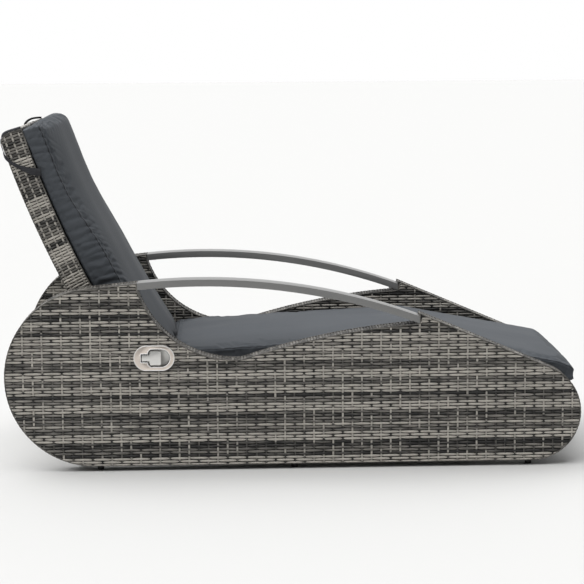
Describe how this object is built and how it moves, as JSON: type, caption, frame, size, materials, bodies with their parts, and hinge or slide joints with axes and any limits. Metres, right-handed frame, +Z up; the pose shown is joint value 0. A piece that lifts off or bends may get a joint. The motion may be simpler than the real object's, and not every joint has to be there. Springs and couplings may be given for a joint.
{
  "type": "reclining lounger",
  "caption": "Woven-sided reclining lounger with curved metal armrests, a cushioned seat and back, and a side pull handle that frees the backrest's gas spring.",
  "frame": {"origin": "on the floor, under the middle of the two side panels", "axes": "+X from the head end to the foot end, +Y to the sitter's left, +Z up"},
  "size_m": [1.7001, 0.753, 1.036],
  "materials": {
    "weave": "matte woven strand",
    "cushion_cloth": "plain woven cloth",
    "strap_webbing": "matte webbing",
    "arm_metal": "satin powder coat",
    "frame_metal": "satin powder coat",
    "foot_plastic": "matte",
    "handle_nickel": "satin nickel",
    "fastener_steel": "plain",
    "spring_black": "gloss",
    "black_rubber": "matte"
  },
  "bodies": {
    "base": {"armrest_screws": "fastener_steel", "armrest_spigots": "frame_metal", "cable_grommet": "black_rubber", "foot_cross_tube": "frame_metal", "frame_bolts": "fastener_steel", "gas_rod": "fastener_steel", "gas_spring_bracket": "frame_metal", "handle_clamp_ring": "fastener_steel", "handle_cup": "handle_nickel", "handle_lever_pin": "fastener_steel", "handle_nuts": "fastener_steel", "handle_plate": "handle_nickel", "handle_spring": "fastener_steel", "head_cross_tube": "frame_metal", "hinge_nuts": "fastener_steel", "hinge_pins": "fastener_steel", "left_armrest": "arm_metal", "left_frame_struts": "frame_metal", "left_head_foot": "foot_plastic", "left_hinge_bracket": "frame_metal", "left_mid_foot": "foot_plastic", "left_nose_foot": "foot_plastic", "left_seat_rail": "frame_metal", "left_side_frame": "frame_metal", "left_side_weave": "weave", "release_cable": "black_rubber", "release_head": "frame_metal", "release_pin": "fastener_steel", "right_armrest": "arm_metal", "right_frame_struts": "frame_metal", "right_head_foot": "foot_plastic", "right_hinge_bracket": "frame_metal", "right_mid_foot": "foot_plastic", "right_nose_foot": "foot_plastic", "right_seat_rail": "frame_metal", "right_side_frame": "frame_metal", "right_side_weave": "weave", "rod_lock_nut": "fastener_steel", "seat_cushion": "cushion_cloth", "seat_deck_weave": "weave", "seat_front_tube": "frame_metal", "seat_knee_tube": "frame_metal", "seat_mid_tube": "frame_metal", "seat_rear_tube": "frame_metal"},
    "backrest": {"backrest_weave": "weave", "backrest_right_rail": "frame_metal", "backrest_left_rail": "frame_metal", "backrest_top_rail": "frame_metal", "backrest_bottom_rail": "frame_metal", "backrest_lever": "frame_metal", "right_hinge_tongue": "frame_metal", "left_hinge_tongue": "frame_metal", "tongue_bolts": "fastener_steel", "hinge_bushes": "fastener_steel", "back_cushion": "cushion_cloth", "corner_straps": "strap_webbing"},
    "gas_spring": {"gas_cylinder": "spring_black", "gas_spring_pin": "fastener_steel"},
    "pull_lever": {"handle_lever": "handle_nickel"},
    "release_lever": {"release_arm": "frame_metal"}
  },
  "joints": [
    {"name": "backrest_recline", "type": "hinge", "parent": "base", "child": "backrest", "pos_m": [-0.472, 0, 0.267], "axis": [0, -1, 0], "range_deg": [0, 48]},
    {"name": "gas_spring_stroke", "type": "slide", "parent": "base", "child": "gas_spring", "axis": [1, 0, 0], "range_m": [0, 0.0672]},
    {"name": "handle_pull", "type": "hinge", "parent": "base", "child": "pull_lever", "pos_m": [-0.445, -0.3735, 0.338], "axis": [0, 0, -1], "range_deg": [0, 28], "stiffness_Nm_per_rad": 0.15},
    {"name": "release_arm_turn", "type": "hinge", "parent": "base", "child": "release_lever", "pos_m": [-0.2795, 0.0075, 0.19209], "axis": [0, 0, -1], "range_deg": [0, 12]}
  ],
  "couplings": [
    {"joint": "gas_spring_stroke", "follows": "backrest_recline", "m_per_rad": 0.079623},
    {"joint": "release_arm_turn", "follows": "handle_pull", "ratio": 0.42814}
  ]
}
